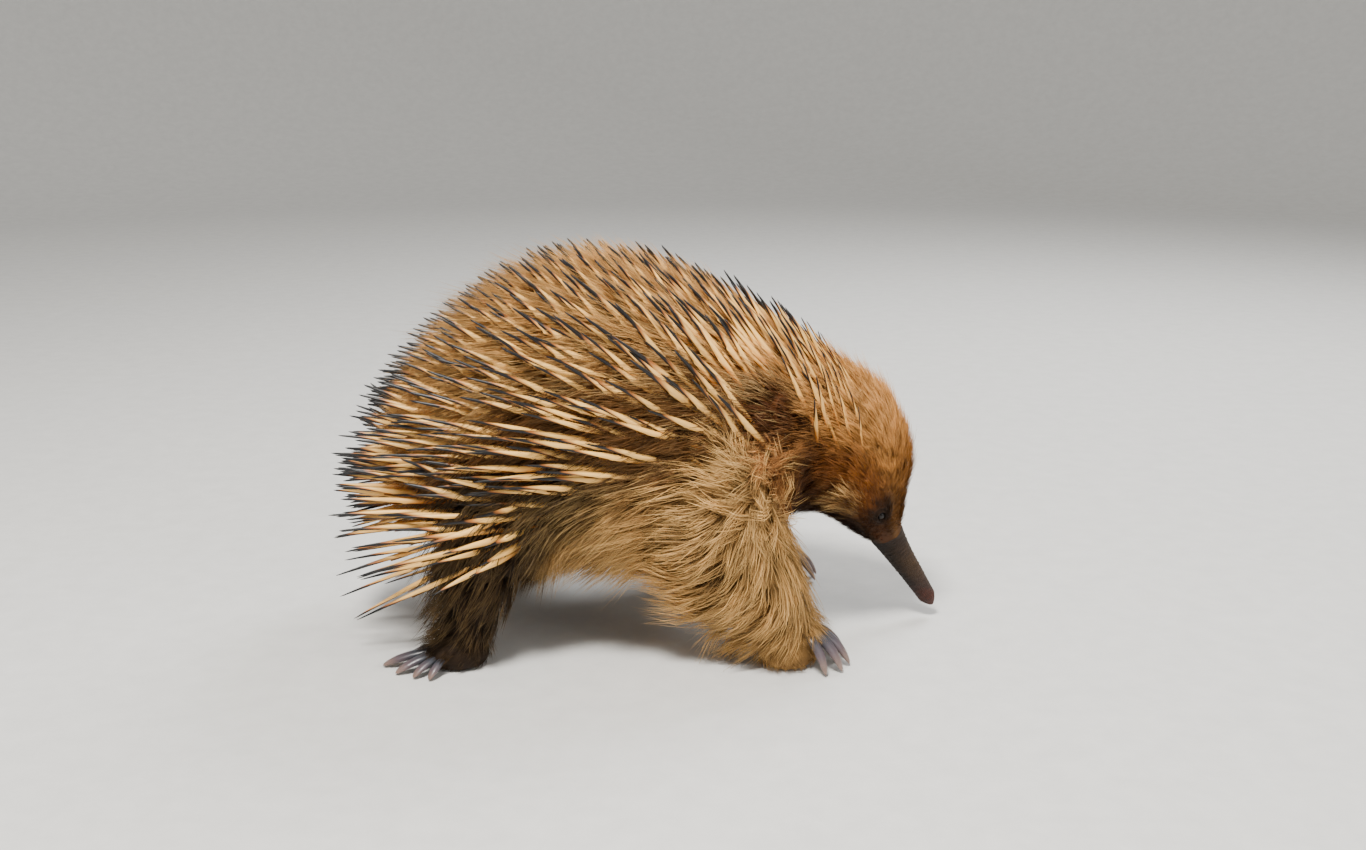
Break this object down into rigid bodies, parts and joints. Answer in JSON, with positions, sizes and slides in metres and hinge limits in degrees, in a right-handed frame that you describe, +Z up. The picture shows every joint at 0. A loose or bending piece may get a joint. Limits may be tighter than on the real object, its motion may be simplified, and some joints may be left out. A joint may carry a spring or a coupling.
{
  "type": "echidna",
  "caption": "Life-size still model of a walking short-beaked echidna: domed back of long spines over brown fur, lowered head with a slim bare beak, short furred legs with strong claws.",
  "frame": {"origin": "middle of the bounding box at floor level, under the body", "axes": "+X is the way the animal walks, +Y is its left side, +Z is up from the floor"},
  "size_m": [0.3368, 0.2018, 0.2257],
  "materials": {
    "torso_coat": "cream spines with dark tips over brown fur",
    "neck_coat": "golden brown fur with cream spines",
    "head_fur": "short golden brown fur",
    "beak_skin": "bare dark skin with fine pores",
    "tail_coat": "cream spines with dark tips over brown fur",
    "eye": "wet black gloss",
    "ear_skin": "bare dark skin, matt",
    "front_fur": "long pale tan fur",
    "hind_fur": "coarse dark brown fur",
    "foot_skin": "dark wrinkled skin",
    "horn": "smooth grey horn with a low sheen"
  },
  "bodies": {
    "root": {"torso": "torso_coat", "neck": "neck_coat", "head": "head_fur", "beak": "beak_skin", "tail": "tail_coat", "eye_left": "eye", "eye_right": "eye", "ear_left": "ear_skin", "ear_right": "ear_skin", "front_right_leg": "front_fur", "front_right_foot": "foot_skin", "front_right_claw_1": "horn", "front_right_claw_2": "horn", "front_right_claw_3": "horn", "front_right_claw_4": "horn", "front_right_claw_5": "horn", "front_left_leg": "front_fur", "front_left_foot": "foot_skin", "front_left_claw_1": "horn", "front_left_claw_2": "horn", "front_left_claw_3": "horn", "front_left_claw_4": "horn", "front_left_claw_5": "horn", "hind_right_leg": "hind_fur", "hind_right_foot": "foot_skin", "hind_right_claw_1": "horn", "hind_right_claw_2": "horn", "hind_right_claw_3": "horn", "hind_right_claw_4": "horn", "hind_right_claw_5": "horn", "hind_left_leg": "hind_fur", "hind_left_foot": "foot_skin", "hind_left_claw_1": "horn", "hind_left_claw_2": "horn", "hind_left_claw_3": "horn", "hind_left_claw_4": "horn", "hind_left_claw_5": "horn"}
  },
  "joints": []
}
